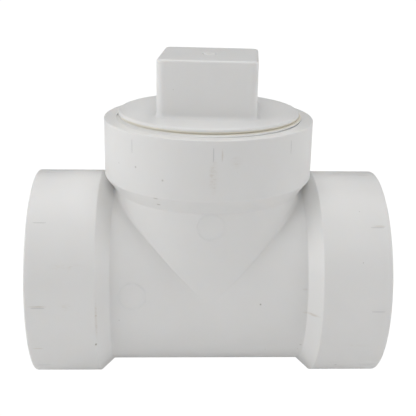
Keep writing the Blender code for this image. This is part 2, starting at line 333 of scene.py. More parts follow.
class Crossing:
    """Skin of two crossing tubes, the run along X and the branch up Z, blended by a fillet.

    The fillet is widest at the sides of the branch and fades to nothing at the front and
    back, where the two tubes touch each other in one point.
    """

    def __init__(self, run, branch, fillet, columns):
        self.run = run
        self.branch = branch
        self.fillet = fillet
        self.columns = columns
        self.turns = TURN * np.arange(columns) / columns

    def slant(self, profile, along):
        """Cosine of a profile's slope, which turns a radial distance into a true one."""
        step = 0.02 * MM
        slope = (profile(along + step) - profile(along - step)) / (2 * step)
        return 1.0 / np.sqrt(1.0 + slope * slope)

    def reach(self, x, y, z):
        """Width of the blend at a point."""
        spread = y * y / np.maximum(np.hypot(y, z) * np.hypot(x, y), MM * MM)
        return np.maximum(self.fillet * np.maximum(1.0 - spread, 0.0) ** 2, MERGE)

    def field(self, x, y, z):
        """Distance from the blended skin, positive outside."""
        along = np.abs(x)
        to_run = (np.hypot(y, z) - self.run(along)) * self.slant(self.run, along)
        to_branch = (np.hypot(x, y) - self.branch(z)) * self.slant(self.branch, z)
        to_branch = np.maximum(to_branch, -z)
        width = self.reach(x, y, z)
        overlap = np.maximum(width - np.abs(to_run - to_branch), 0.0) / width
        return np.minimum(to_run, to_branch) - overlap * overlap * width / 4

    def climb(self, point_at, start):
        """First distance from start, along the line that point_at draws, where the skin lies."""
        step, steps = 0.12 * MM, 80
        tries = start[..., None] - 2 * step + step * np.arange(steps)
        outside = self.field(*point_at(tries)) > 0
        first = np.maximum(outside.argmax(-1), 1)
        low = np.take_along_axis(tries, first[..., None] - 1, -1)
        high = np.take_along_axis(tries, first[..., None], -1)
        for _ in range(18):
            middle = (low + high) / 2
            out = self.field(*point_at(middle)) > 0
            low, high = np.where(out, low, middle), np.where(out, middle, high)
        return high[..., 0]

    def run_points(self, x, turn):
        """Points of the skin at places x along the run and angles turn from the top towards the front."""
        def at(radius):
            return x[..., None], -radius * np.sin(turn)[..., None], radius * np.cos(turn)[..., None]

        radius = self.climb(at, self.run(np.abs(x)))
        return np.stack([x, -radius * np.sin(turn), radius * np.cos(turn)], -1)

    def branch_points(self, z, turn):
        """Points of the skin at heights z and at angles turn about the branch."""
        def at(radius):
            return radius * np.cos(turn)[..., None], radius * np.sin(turn)[..., None], z[..., None]

        radius = self.climb(at, self.branch(z))
        return np.stack([radius * np.cos(turn), radius * np.sin(turn), z], -1)

    def valley(self):
        """Where the two tubes meet, one point for each column of the branch."""
        side = np.abs(np.cos(self.turns))
        side[side < 1e-9] = 0.0
        offset = self.fillet * side ** 4 / 4
        low, high = np.zeros_like(side), np.full_like(side, 60 * MM)
        for _ in range(40):
            z = (low + high) / 2
            radius = self.branch(z) + offset / self.slant(self.branch, z)
            x, y = radius * side, radius * np.sin(self.turns)
            above = (np.hypot(y, z) - self.run(x)) * self.slant(self.run, x) > offset
            low, high = np.where(above, low, z), np.where(above, z, high)
        points = self.branch_points(low, self.turns)
        points[side == 0.0, 0] = 0.0
        points[side == 0.0, 2] = 0.0
        return points

    def places(self, start, foot, marks, end, count):
        """Row places from each start to the end: short steps at the start, then the marks.

        Where the start lies past the foot, the marks are drawn together before the end.
        """
        marks = np.asarray(marks)
        room = (end - start)[:, None]
        squeeze = np.minimum(1.0, 0.72 * room / (end - foot))
        late = end - (end - marks)[None, :] * squeeze
        early = start[:, None] + (late[:, :1] - start[:, None]) * graded(count)[None, :-1]
        return np.concatenate([early, late], 1)

    def weave(self, weave, foot, run_marks, run_end, branch_foot, branch_marks, branch_end, count, flip):
        """Add the skin to the weave, and give the end rings of both run sides and of the branch."""
        columns = self.columns
        valley = self.valley()
        valley_numbers = weave.add(valley)
        turns = self.turns
        upper = np.cos(turns) > -1e-9
        lower_radius = self.run(np.zeros(1))[0]
        lower = np.stack([0 * turns, -lower_radius * np.sin(turns), lower_radius * np.cos(turns)], -1)
        lower_numbers = weave.add(lower)
        ends = []
        for side in (1, -1):
            partner = -np.arange(columns) if side > 0 else np.arange(columns) + columns // 2
            partner = partner % columns
            start = np.where(upper[:, None], valley[partner], lower)
            numbers = np.where(upper, valley_numbers[partner], lower_numbers)
            x = self.places(np.abs(start[:, 0]), foot, run_marks, run_end, count)
            start_turn = np.arctan2(-start[:, 1], start[:, 2])
            drift = (start_turn - turns + math.pi) % TURN - math.pi
            left = (x - x[:, :1]) / (x[:, -1:] - x[:, :1])
            turn = turns[:, None] + drift[:, None] * (1.0 - left) ** 2
            points = self.run_points(side * x[:, 1:], turn[:, 1:])
            grid = np.concatenate([numbers[:, None], weave.add(points)], 1)
            weave.join(grid, flip=flip ^ (side > 0))
            ends.append(grid[:, -1])
        z = self.places(valley[:, 2], branch_foot, branch_marks, branch_end, count)
        points = self.branch_points(z[:, 1:], np.repeat(turns[:, None], z.shape[1] - 1, 1))
        grid = np.concatenate([valley_numbers[:, None], weave.add(points)], 1)
        weave.join(grid, flip=flip)
        return ends[0], ends[1], grid[:, -1]


def run_rings(profile, turns, side):
    """Rings about X through (along, radius) points, one column for each angle."""
    along = np.array([p[0] for p in profile])[None, :] + 0 * turns[:, None]
    radius = np.array([p[1] for p in profile])[None, :]
    return np.stack([side * along, -radius * np.sin(turns)[:, None], radius * np.cos(turns)[:, None]], -1)


def branch_rings(profile, turns):
    """Rings about Z through (height, radius) points, one column for each angle."""
    height = np.array([p[0] for p in profile])[None, :] + 0 * turns[:, None]
    radius = np.array([p[1] for p in profile])[None, :]
    return np.stack([radius * np.cos(turns)[:, None], radius * np.sin(turns)[:, None], height], -1)


class Thread:
    """Right-hand tapered thread, for the plug or, with room added, for the branch."""

    def __init__(self, sizes, rim_height, room):
        self.pitch = sizes.pitch
        self.taper = sizes.taper
        self.rim_height = rim_height
        self.crest = rim_height + sizes.front_crest + sizes.pitch / 4
        widening = sizes.flank_gap - sizes.crest_gap * math.tan(sizes.flank) if room else 0.0
        self.root = sizes.root_radius + (sizes.crest_gap if room else 0.0)
        self.height = sizes.height
        crest_half = sizes.crest_half + widening
        base_half = crest_half + sizes.height * math.tan(sizes.flank)
        ease = 0.09 * MM
        drop = ease / math.tan(sizes.flank)
        half_pitch = sizes.pitch / 2
        self.sides = np.array([
            0.0, crest_half * 0.5, crest_half + ease, base_half - ease, base_half, half_pitch,
        ])
        self.rises = np.array([1.0, 0.985, 1 - drop / self.height, drop / self.height, 0.02, 0.0])
        self.offsets = np.concatenate([self.sides[:-1], half_pitch * 2 - self.sides[:0:-1]])
        self.fade = sizes.fade
        self.first = self.crest

    def start_above(self, lowest):
        """Let the thread start a whole number of turns below its front crest."""
        self.first = self.crest - math.floor((self.crest - lowest) / self.pitch) * self.pitch

    def plain_radius(self, height):
        """Root radius at a height."""
        return self.root + (height - self.rim_height) * self.taper

    def radius(self, height, turn):
        """Radius of the threaded surface at a height and an angle."""
        lift = (height - self.crest) / self.pitch - turn / TURN
        nearest = np.round(lift)
        beside = np.abs(lift - nearest) * self.pitch
        grown = nearest + turn / TURN + (self.crest - self.first) / self.pitch
        fade = np.clip(grown / self.fade, 0.0, 1.0)
        fade = fade * fade * (3 - 2 * fade)
        return self.plain_radius(height) + fade * self.height * np.interp(beside, self.sides, self.rises)

    def heights(self, turn, low, high):
        """Row heights for each angle from above high to below low, held between them."""
        turns = math.ceil((self.crest + self.pitch - low) / self.pitch) + 1
        down = (np.arange(-1, turns)[:, None] * self.pitch + self.offsets[None, :]).ravel()
        heights = self.crest + self.pitch * turn[:, None] / TURN - down[None, :]
        snap = 0.04 * MM
        heights = np.where(heights > high - snap, high, heights)
        return np.where(heights < low + snap, low, heights)

    def weave(self, weave, turn, low, high, cone=None, flip=False):
        """Add the threaded surface, and give its upper and lower rings."""
        heights = self.heights(turn, low, high)
        radius = self.radius(heights, turn[:, None])
        if cone:
            radius = np.maximum(radius, cone(heights))
        points = np.stack([radius * np.cos(turn)[:, None], radius * np.sin(turn)[:, None], heights], -1)
        grid = weave.add(points)
        weave.strip(grid[:-1], grid[1:], flip)
        rows = len(self.offsets)
        weave.strip(grid[-1][rows:], grid[0][:-rows], flip)
        return grid[:, 0], grid[:, -1]


def spaced(start, end, steps):
    """Points on a straight line of a profile, the first left out, with support rows near both ends."""
    shares = [0.03] + [i / steps for i in range(1, steps)] + [0.97, 1.0]
    return [(start[0] + (end[0] - start[0]) * t, start[1] + (end[1] - start[1]) * t) for t in shares]


def tee_mesh(tee, thread):
    """The whole moulding: outer skin, sockets, waterways, throat and female thread."""
    columns = 192
    weave = Weave()
    near = np.array([-0.7, -0.35, -0.15, 0.0, 0.15, 0.35, 0.7]) * MM

    def marks(foot, edge):
        middle = [foot + (edge - foot) * t for t in (0.3, 0.5, 0.7)]
        return np.concatenate([foot + near, middle, edge + near])

    outer = Crossing(run_profile(tee), branch_profile(tee), tee.fillet, columns)
    run_marks = marks(tee.hub_foot, tee.hub_edge)
    branch_marks = marks(tee.branch_foot, tee.branch_edge)
    right, left, top = outer.weave(
        weave, tee.hub_foot, run_marks, run_marks[-1],
        tee.branch_foot, branch_marks, branch_marks[-1], 26, False,
    )
    turns = outer.turns

    stop = tee.run_half_length - tee.socket_depth
    throat_end = tee.rim_height - thread.female_length - thread.relief - thread.throat
    inner = Crossing(plain(tee.bore_radius), plain(tee.bore_radius), 0.6 * MM, columns)
    inner_run = [stop - tee.socket_depth / 4, stop - 2 * MM, stop - 0.25 * MM]
    inner_branch = [throat_end - 2 * MM, throat_end - 0.4 * MM]
    inner_right, inner_left, inner_top = inner.weave(
        weave, inner_run[0], inner_run, inner_run[-1],
        inner_branch[0], inner_branch, inner_branch[-1], 18, True,
    )

    face = tee.run_half_length
    rim = tee.hub_round
    mouth = tee.socket_mouth
    hub = tee.hub_radius
    path = spaced((run_marks[-1], hub), (face - rim, hub), 5)
    path += arc((face - rim, hub - rim), rim, 90, 0, 6)[1:]
    path += spaced((face, hub - rim), (face, mouth + tee.lead_in), 2)
    path += spaced((face, mouth + tee.lead_in), (face - tee.lead_in, mouth), 2)
    narrow = mouth - tee.socket_taper
    corner = 0.3 * MM
    path += spaced((face - tee.lead_in, mouth), (stop + corner, narrow), 8)
    path += arc((stop + corner, narrow - corner), corner, 90, 180, 3)[1:]
    path += spaced((stop, narrow - corner), (stop, tee.bore_radius + corner), 3)
    path += arc((stop - corner, tee.bore_radius + corner), corner, 0, -90, 3)[1:-1]
    for side, outer_end, inner_end in ((1, right, inner_right), (-1, left, inner_left)):
        rings = weave.add(run_rings(path, turns, side))
        grid = np.concatenate([outer_end[:, None], rings, inner_end[:, None]], 1)
        weave.join(grid, flip=side > 0)

    height = tee.rim_height
    rim = tee.rim_round
    wide = tee.branch_radius
    path = spaced((branch_marks[-1], wide), (height - rim, wide), 5)
    path += arc((height - rim, wide - rim), rim, 90, 0, 6)[1:]
    outside = weave.add(branch_rings(path, turns))
    female = Thread(thread, tee.rim_height, True)
    end = height - thread.female_length
    female.start_above(end + RUN_OUT + female.sides[4])
    mouth = np.maximum(female.radius(height, turns), thread.mouth)[:, None]
    across = np.array([0.03, 0.5, 0.97, 1.0])[None, :]
    flat = wide - rim + (mouth - wide + rim) * across
    around = turns[:, None]
    flat = np.stack([flat * np.cos(around), flat * np.sin(around), height + 0 * flat], -1)
    weave.join(np.concatenate([top[:, None], outside, weave.add(flat)], 1))
    _, lowest = female.weave(weave, turns, end, height, lambda h: thread.mouth - (height - h))
    relief_end = end - thread.relief
    path = spaced((end, female.plain_radius(end)), (relief_end, female.plain_radius(relief_end)), 1)
    path += spaced((relief_end, female.plain_radius(relief_end)), (throat_end, tee.bore_radius), 5)
    rings = weave.add(branch_rings(path, turns))
    weave.join(np.concatenate([lowest[:, None], rings, inner_top[:, None]], 1))
    return weave.mesh("tee_moulding")


# Rows across a wide flat face, closer together at its edges
WIDE_SHARES = (0.04, 0.15, 0.3, 0.45, 0.6, 0.75, 0.88, 0.97, 1.0)


def sweep(steps, end=TURN / 4):
    """Angles of a rounding's rows, from the first one after its start to its end."""
    return [end * i / steps for i in range(1, steps + 1)]


def square_outline(half, corner, flat_steps, corner_steps):
    """Points and outward directions round a rounded square, from the middle of its first corner arc."""
    points, normals = [], []
    for quarter in range(4):
        turn = quarter * TURN / 4
        spin = np.array([[math.cos(turn), -math.sin(turn)], [math.sin(turn), math.cos(turn)]])
        for i in range(flat_steps):
            t = -1.0 + 2.0 * i / flat_steps
            points.append(spin @ (half, t * (half - corner)))
            normals.append(spin @ (1.0, 0.0))
        for i in range(corner_steps):
            a = TURN / 4 * i / corner_steps
            out = np.array([math.cos(a), math.sin(a)])
            points.append(spin @ (np.array([half - corner] * 2) + corner * out))
            normals.append(spin @ out)
    return np.array(points), np.array(normals)


def plug_mesh(plug, thread, rim_height, nub_radius):
    """The whole plug as one closed shell, from the dimple in the head to the head's hollow."""
    weave = Weave()
    outline, outward = square_outline(plug.head_half, plug.head_corner, 40, 10)
    inner_half = plug.head_half - plug.head_wall
    inline, inward = square_outline(inner_half, plug.head_corner, 40, 10)
    spin = np.array(Matrix.Rotation(plug.head_turn, 2))
    outline, outward, inline, inward = (a @ spin.T for a in (outline, outward, inline, inward))
    turn = np.arctan2(outline[:, 1], outline[:, 0]) % TURN
    order = np.argsort(turn)
    outline, outward, inline, inward = (a[order] for a in (outline, outward, inline, inward))
    turn = turn[order]
    circle = np.stack([np.cos(turn), np.sin(turn)], -1)
    rings = []

    def ring(flat, height):
        rings.append(np.concatenate([flat, np.full((len(turn), 1), height)], 1))

    def between(first, second, height, shares):
        for t in shares:
            ring(first + (second - first) * t, height)

    head_top = PLUG_HIGH.z
    dimple = nub_radius + plug.dimple_gap
    floor = head_top - plug.dimple_depth
    top_pole = weave.add([[0.0, 0.0, floor]])[0]
    small = 0.12 * MM
    for radius, height in (
        (dimple * 0.4, floor), (dimple - 2 * small, floor), (dimple - small * 0.3, floor + small * 0.3),
        (dimple, floor + 2 * small), (dimple, head_top - small),
        (dimple + small * 0.3, head_top - small * 0.3), (dimple + small, head_top),
    ):
        ring(circle * radius, height)
    edge = outline - outward * plug.head_round
    between(circle * (dimple + small), edge, head_top, WIDE_SHARES)
    for a in sweep(6):
        ring(edge + outward * plug.head_round * math.sin(a), head_top - plug.head_round * (1 - math.cos(a)))
    foot = plug.top + plug.head_fillet
    shoulder = head_top - plug.head_round
    for t in (0.03, 0.2, 0.4, 0.6, 0.8, 0.97, 1.0):
        ring(outline, shoulder + (foot - shoulder) * t)
    for a in sweep(6):
        ring(outline + outward * plug.head_fillet * (1 - math.cos(a)), foot - plug.head_fillet * math.sin(a))
    disc_radius = plug.disc_radius
    fillet_foot = outline + outward * plug.head_fillet
    rounding = plug.disc_edge / 2
    brink = circle * (disc_radius - rounding)
    between(fillet_foot, brink, plug.top, WIDE_SHARES)
    for a in sweep(12, TURN * 0.48):
        ring(circle * (disc_radius - rounding * (1 - math.sin(a))), plug.top - rounding * (1 - math.cos(a)))
    under = plug.top - plug.disc_edge
    upper = weave.add(np.stack(rings, 1))

    male = Thread(thread, rim_height, False)
    nose = PLUG_LOW.z
    bevel_top = nose + plug.nose_bevel
    male.start_above(bevel_top + RUN_OUT + male.sides[4])
    top_ring, low_ring = male.weave(weave, turn, bevel_top, under)

    rings.clear()
    inside = thread.root_radius - plug.skirt_wall

    def bored(height):
        return inside + (height - rim_height) * thread.taper

    tip = male.plain_radius(nose) - plug.nose_bevel
    ring(circle * (tip + small), nose + small)
    ring(circle * (tip - small), nose)
    ring(circle * (bored(nose) + small), nose)
    ring(circle * (bored(nose) + small * 0.3), nose + small * 0.3)
    ceiling = plug.top - plug.floor
    corner = plug.skirt_wall / 2
    for t in (0.02, 0.25, 0.5, 0.75, 0.96, 1.0):
        height = nose + small + (ceiling - corner - nose - small) * t
        ring(circle * bored(height), height)
    wall = bored(ceiling - corner)
    for a in sweep(6):
        ring(circle * (wall - corner * (1 - math.cos(a))), ceiling - corner * (1 - math.sin(a)))
    brow = 0.4 * MM
    between(circle * (wall - corner), inline + inward * brow, ceiling, (0.05, 0.3, 0.6, 0.9, 1.0))
    for a in sweep(3):
        ring(inline + inward * brow * (1 - math.sin(a)), ceiling + brow * (1 - math.cos(a)))
    roof = head_top - plug.head_wall
    shoulder = roof - plug.head_round
    for t in (0.1, 0.4, 0.7, 0.97, 1.0):
        ring(inline, ceiling + brow + (shoulder - ceiling - brow) * t)
    for a in sweep(4):
        ring(inline - inward * plug.head_round * (1 - math.cos(a)), shoulder + plug.head_round * math.sin(a))
    crown = inline - inward * plug.head_round
    between(crown, circle * 0.2 * MM, roof, (0.05, 0.35, 0.65, 0.9))
    lower = weave.add(np.stack(rings, 1))
    roof_pole = weave.add([[0.0, 0.0, roof]])[0]

    weave.fan(upper[:, 0], top_pole)
    weave.join(np.concatenate([upper, top_ring[:, None]], 1))
    weave.join(np.concatenate([low_ring[:, None], lower], 1))
    weave.fan(lower[:, -1], roof_pole, flip=True)
    return weave.mesh("plug_moulding")


def nub_mesh(low, high):
    """Gate nub: a short stud whose broken-off end is a little dished."""
    radius = high.x
    weave = Weave()
    turns = TURN * np.arange(64) / 64
    edge = 0.22 * MM
    path = [(high.z - 0.10 * MM, radius * 0.15), (high.z - 0.08 * MM, radius * 0.35)]
    path += [(high.z - 0.02 * MM, radius * 0.62)]
    path += [(high.z - edge + edge * math.cos(a), radius - edge + edge * math.sin(a))
             for a in np.radians(np.linspace(0, 90, 6))]
    path += [(low.z + edge, radius), (low.z, radius - edge), (low.z, radius * 0.3)]
    grid = weave.add(branch_rings(path, turns))
    poles = weave.add([[0, 0, high.z - 0.10 * MM], [0, 0, low.z]])
    weave.join(grid)
    weave.fan(grid[:, 0], poles[0])
    weave.fan(grid[:, -1], poles[1], flip=True)
    return weave.mesh("plug_gate_stud")


def new_group(name, kind, inputs, outputs):
    """Node group with typed, named sockets; each of inputs is (name, type, default)."""
    group = bpy.data.node_groups.new(name, kind)
    for socket_name, socket_type, default in inputs:
        socket = group.interface.new_socket(socket_name, in_out="INPUT", socket_type=socket_type)
        if default is not None:
            socket.default_value = default
    for socket_name, socket_type in outputs:
        group.interface.new_socket(socket_name, in_out="OUTPUT", socket_type=socket_type)
    return group


class Nodes:
    """Short way to add and link nodes in one tree."""

    def __init__(self, tree):
        self.tree = tree

    def add(self, kind, inputs=(), **settings):
        """Add a node; inputs maps a socket's name or number to a value or to another node's socket."""
        node = self.tree.nodes.new(kind)
        for key, value in settings.items():
            setattr(node, key, value)
        for key, value in dict(inputs).items():
            if isinstance(value, bpy.types.NodeSocket):
                self.tree.links.new(value, node.inputs[key])
            else:
                node.inputs[key].default_value = value
        return node

    def maths(self, operation, first, second=0.0):
        """Result of a math node."""
        return self.add("ShaderNodeMath", {0: first, 1: second}, operation=operation).outputs[0]

    def vector(self, operation, first, second=(0.0, 0.0, 0.0)):
        """Result of a vector math node."""
        node = self.add("ShaderNodeVectorMath", {0: first, 1: second}, operation=operation)
        return node.outputs["Value" if operation == "LENGTH" else "Vector"]

    def ramp(self, value, low, high, start=0.0, end=1.0, **settings):
        """A value from low to high spread over start to end, and held beyond them."""
        inputs = {"Value": value, "From Min": low, "From Max": high, "To Min": start, "To Max": end}
        return self.add("ShaderNodeMapRange", inputs, **settings).outputs[0]

    def tinted(self, amount, under, tint):
        """A colour with an amount of a tint over it."""
        inputs = {0: amount, 6: under, 7: (*tint, 1.0)}
        return self.add("ShaderNodeMix", inputs, data_type="RGBA").outputs[2]

    def noise(self, place, scale, detail, **inputs):
        """Value of a noise texture."""
        inputs.update({"Vector": place, "Scale": scale, "Detail": detail})
        return self.add("ShaderNodeTexNoise", inputs).outputs[0]

    def point(self, x=0.0, y=0.0, z=0.0):
        """A vector from its three parts."""
        return self.add("ShaderNodeCombineXYZ", {0: x, 1: y, 2: z}).outputs[0]


def moulded_surface_group():
    """Fine grain and slow flow ripples of an injection moulding, as a height and a tone."""
    group = new_group(
        "moulded_surface", "ShaderNodeTree",
        [("Place", "NodeSocketVector", None), ("Grain Size", "NodeSocketFloat", 0.5 * MM),
         ("Grain", "NodeSocketFloat", 0.6), ("Flow", "NodeSocketFloat", 0.4)],
        [("Height", "NodeSocketFloat"), ("Tone", "NodeSocketFloat")],
    )
    n = Nodes(group)
    given = n.add("NodeGroupInput").outputs
    per_metre = n.maths("DIVIDE", 1.0, given["Grain Size"])
    grain = n.noise(given["Place"], per_metre, 3.0, Roughness=0.55)
    flow = n.noise(given["Place"], 90.0, 2.0, Roughness=0.5, Distortion=0.6)
    tone = n.noise(given["Place"], 28.0, 3.0, Roughness=0.6)
    grain = n.maths("MULTIPLY", grain, given["Grain"])
    height = n.maths("ADD", grain, n.maths("MULTIPLY", flow, given["Flow"]))
    n.add("NodeGroupOutput", {"Height": height, "Tone": tone})
    return group


def speck_group():
    """Rare dark specks of burnt plastic, as a mask."""
    group = new_group(
        "burnt_specks", "ShaderNodeTree",
        [("Place", "NodeSocketVector", None), ("Spacing", "NodeSocketFloat", 6.0 * MM),
         ("Speck Size", "NodeSocketFloat", 0.22 * MM), ("Share", "NodeSocketFloat", 0.35)],
        [("Mask", "NodeSocketFloat")],
    )
    n = Nodes(group)
    given = n.add("NodeGroupInput").outputs
    cells = n.add(
        "ShaderNodeTexVoronoi",
        {"Vector": given["Place"], "Scale": n.maths("DIVIDE", 1.0, given["Spacing"]), "Randomness": 1.0},
        feature="F1",
    ).outputs
    chance = n.add("ShaderNodeSeparateColor", {0: cells["Color"]}).outputs
    reach = n.maths("DIVIDE", n.maths("MULTIPLY", given["Speck Size"], chance[1]), given["Spacing"])
    near = n.ramp(n.maths("DIVIDE", cells["Distance"], reach), 0.5, 1.3, 1.0, 0.0)
    kept = n.maths("LESS_THAN", chance[0], given["Share"])
    n.add("NodeGroupOutput", {"Mask": n.maths("MULTIPLY", near, kept)})
    return group


def patch_group():
    """A rubbed patch or a stain: streaks inside a soft ellipsoid, as a mask."""
    group = new_group(
        "rubbed_patch", "ShaderNodeTree",
        [("Place", "NodeSocketVector", None), ("Centre", "NodeSocketVector", None),
         ("Reach", "NodeSocketVector", None), ("Streak Scale", "NodeSocketVector", None),
         ("Streak Share", "NodeSocketFloat", 1.0), ("Amount", "NodeSocketFloat", 0.5)],
        [("Mask", "NodeSocketFloat")],
    )
    n = Nodes(group)
    given = n.add("NodeGroupInput").outputs
    away = n.vector("SUBTRACT", given["Place"], given["Centre"])
    distance = n.vector("LENGTH", n.vector("DIVIDE", away, given["Reach"]))
    inside = n.ramp(distance, 1.0, 0.2, interpolation_type="SMOOTHSTEP")
    stretched = n.vector("MULTIPLY", given["Place"], given["Streak Scale"])
    streak = n.ramp(n.noise(stretched, 1.0, 4.0), 0.48, 0.68)
    streak = n.add("ShaderNodeMix", {0: given["Streak Share"], 2: 1.0, 3: streak}).outputs[0]
    mask = n.maths("MULTIPLY", n.maths("MULTIPLY", inside, streak), given["Amount"])
    n.add("NodeGroupOutput", {"Mask": mask})
    return group


# A patch of dirt: the tube that it is on, the column and row of the pixel in the photograph where its
# middle was read off, its reach along and across the tube in millimetres, the share of it that is streaky
# and its strength
Patch = namedtuple("Patch", "tube column row reach_along reach_across streaky amount")

SCUFFS = {
    "right chamfer smear": Patch("run", 312, 314, 3.8, 0.7, 0.6, 0.55),
    "right chamfer edge": Patch("run", 305, 289, 1.3, 0.6, 0.5, 0.25),
    "left hub upper line": Patch("run", 36.5, 306.5, 3.6, 0.45, 0.4, 0.4),
    "left hub lower line": Patch("run", 37.5, 348, 2.3, 0.4, 0.4, 0.35),
    "right hub upper line": Patch("run", 379, 226, 2.6, 0.4, 0.3, 0.35),
    "left hub edge": Patch("run", 95.5, 320, 0.5, 9.0, 0.7, 0.45),
    "left hub broad smudge": Patch("run", 65, 266.5, 7.5, 1.4, 0.9, 0.15),
    "left hub small smudge": Patch("run", 66, 307, 2.5, 1.6, 0.9, 0.2),
    "right hub faint line": Patch("run", 357.5, 345, 6.0, 0.7, 0.9, 0.12),
    "branch long smudge": Patch("branch", 213, 177, 7.0, 1.8, 0.8, 0.3),
    "branch right smudge": Patch("branch", 236, 162, 2.6, 2.4, 0.8, 0.2),
    "branch tick": Patch("branch", 222, 155.5, 2.6, 0.35, 0.2, 0.35),
}
STAINS = {
    "neck upper streak": Patch("branch", 155, 198, 0.35, 1.3, 0.3, 0.6),
    "neck lower streak": Patch("branch", 158, 204, 0.4, 1.0, 0.3, 0.6),
    "branch speck": Patch("branch", 162, 180, 0.5, 0.5, 0.0, 0.35),
    "branch left speck": Patch("branch", 135, 166.5, 0.5, 0.5, 0.0, 0.4),
    "left hub speck": Patch("run", 95.5, 344, 0.5, 0.7, 0.0, 0.7),
    "body speck": Patch("run", 260, 304, 0.45, 0.45, 0.0, 0.6),
    "right hub speck": Patch("run", 335, 364, 0.8, 0.5, 0.0, 0.35),
    "body low speck": Patch("run", 300, 344, 0.6, 0.5, 0.0, 0.3),
}


def shared_group(name, maker):
    """A node group by its name, made the first time that it is asked for."""
    return bpy.data.node_groups.get(name) or maker()


def painted_shade_group():
    """Painted shade in a crease: a mask between two heights and two distances from Z."""
    group = new_group(
        "crease_painted_shade", "ShaderNodeTree",
        [("Place", "NodeSocketVector", None), ("Low", "NodeSocketFloat", 35 * MM),
         ("High", "NodeSocketFloat", 55 * MM), ("Inner", "NodeSocketFloat", 0.0),
         ("Outer", "NodeSocketFloat", 40 * MM), ("Fade", "NodeSocketFloat", 0.3 * MM)],
        [("Mask", "NodeSocketFloat")],
    )
    n = Nodes(group)
    given = n.add("NodeGroupInput").outputs
    parts = n.add("ShaderNodeSeparateXYZ", {0: given["Place"]}).outputs
    out = n.vector("LENGTH", n.point(parts[0], parts[1]))
    mask = 1.0
    for value, low, high in ((parts[2], "Low", "High"), (out, "Inner", "Outer")):
        over = n.maths("DIVIDE", n.maths("SUBTRACT", value, given[low]), given["Fade"])
        under = n.maths("DIVIDE", n.maths("SUBTRACT", given[high], value), given["Fade"])
        inside = n.maths("MINIMUM", n.maths("MINIMUM", over, under), 1.0)
        mask = n.maths("MULTIPLY", mask, n.maths("MAXIMUM", inside, 0.0))
    n.add("NodeGroupOutput", {"Mask": mask})
    return group


def add_painted_shade(n, place, under, painted_shade, looks):
    """Lay painted crease shade over a colour; its band gives low, high, inner, outer and fade, or is None."""
    if painted_shade is None:
        return under
    inputs = dict(zip(("Place", "Low", "High", "Inner", "Outer", "Fade"), (place, *painted_shade)))
    node = n.add("ShaderNodeGroup", inputs, node_tree=shared_group("crease_painted_shade", painted_shade_group))
    amount = n.maths("MULTIPLY", node.outputs["Mask"], looks.painted_shade_amount)
    return n.tinted(amount, under, looks.painted_shade_colour)


def camera_axes(looks):
    """Right, up and forward of the camera that took the photograph."""
    yaw, pitch, roll = looks.camera_yaw, looks.camera_pitch, looks.camera_roll
    forward = Vector((math.sin(yaw) * math.cos(pitch), math.cos(yaw) * math.cos(pitch), -math.sin(pitch)))
    right = forward.cross(Vector((0.0, 0.0, 1.0))).normalized()
    up = right.cross(forward)
    x_axis = math.cos(roll) * right + math.sin(roll) * up
    y_axis = math.cos(roll) * up - math.sin(roll) * right
    return x_axis, y_axis, forward


def patch_place(scene, patch):
    """Centre and reach of a patch of dirt, where the ray through its pixel meets its tube."""
    looks = scene.stage_looks
    x_axis, y_axis, forward = camera_axes(looks)
    across = (patch.column + 0.5) / PHOTO_WIDTH - 0.5 + looks.shift
    down = (patch.row + 0.5) / PHOTO_WIDTH - 0.5
    ray = (forward + (across * x_axis - down * y_axis) * SENSOR_WIDTH / looks.lens).normalized()
    steps = np.arange(NEAREST, FARTHEST, 0.01 * MM)[:, None]
    points = np.array(looks.camera_place) + steps * np.array(ray)
    on_run = patch.tube == "run"
    axis, side = (0, 2) if on_run else (2, 0)
    profile = run_profile(scene.tee_sizes) if on_run else branch_profile(scene.tee_sizes)
    inside = np.hypot(points[:, 1], points[:, side]) < profile(np.abs(points[:, axis]))
    if not inside.any():
        raise RuntimeError(f"The pixel {patch.column}, {patch.row} doesn't lie on the {patch.tube}")
    reach = [max(patch.reach_along, patch.reach_across) * MM] * 3
    reach[axis], reach[side] = patch.reach_along * MM, patch.reach_across * MM
    return points[inside.argmax()].tolist(), reach


def add_patches(n, place, under, patches, tint):
    """Lay patches of a tint over a colour, where place is on them."""
    worst = None
    for patch in patches:
        centre, reach = patch_place(bpy.context.scene, patch)
        inputs = {
            "Place": place, "Centre": centre, "Reach": reach, "Streak Scale": (500.0, 500.0, 1500.0),
            "Streak Share": patch.streaky, "Amount": patch.amount,
        }
        node = n.add("ShaderNodeGroup", inputs, node_tree=shared_group("rubbed_patch", patch_group))
        mask = node.outputs["Mask"]
        worst = mask if worst is None else n.maths("MAXIMUM", worst, mask)
    return under if worst is None else n.tinted(worst, under, tint)


# Share of the base colour that the dimmest plastic keeps, and how strongly a speck shows
DIM_TONE = 0.965
SPECK_STRENGTH = 0.55
TEE_GRAIN = 0.55 * MM
PLUG_GRAIN = 0.4 * MM


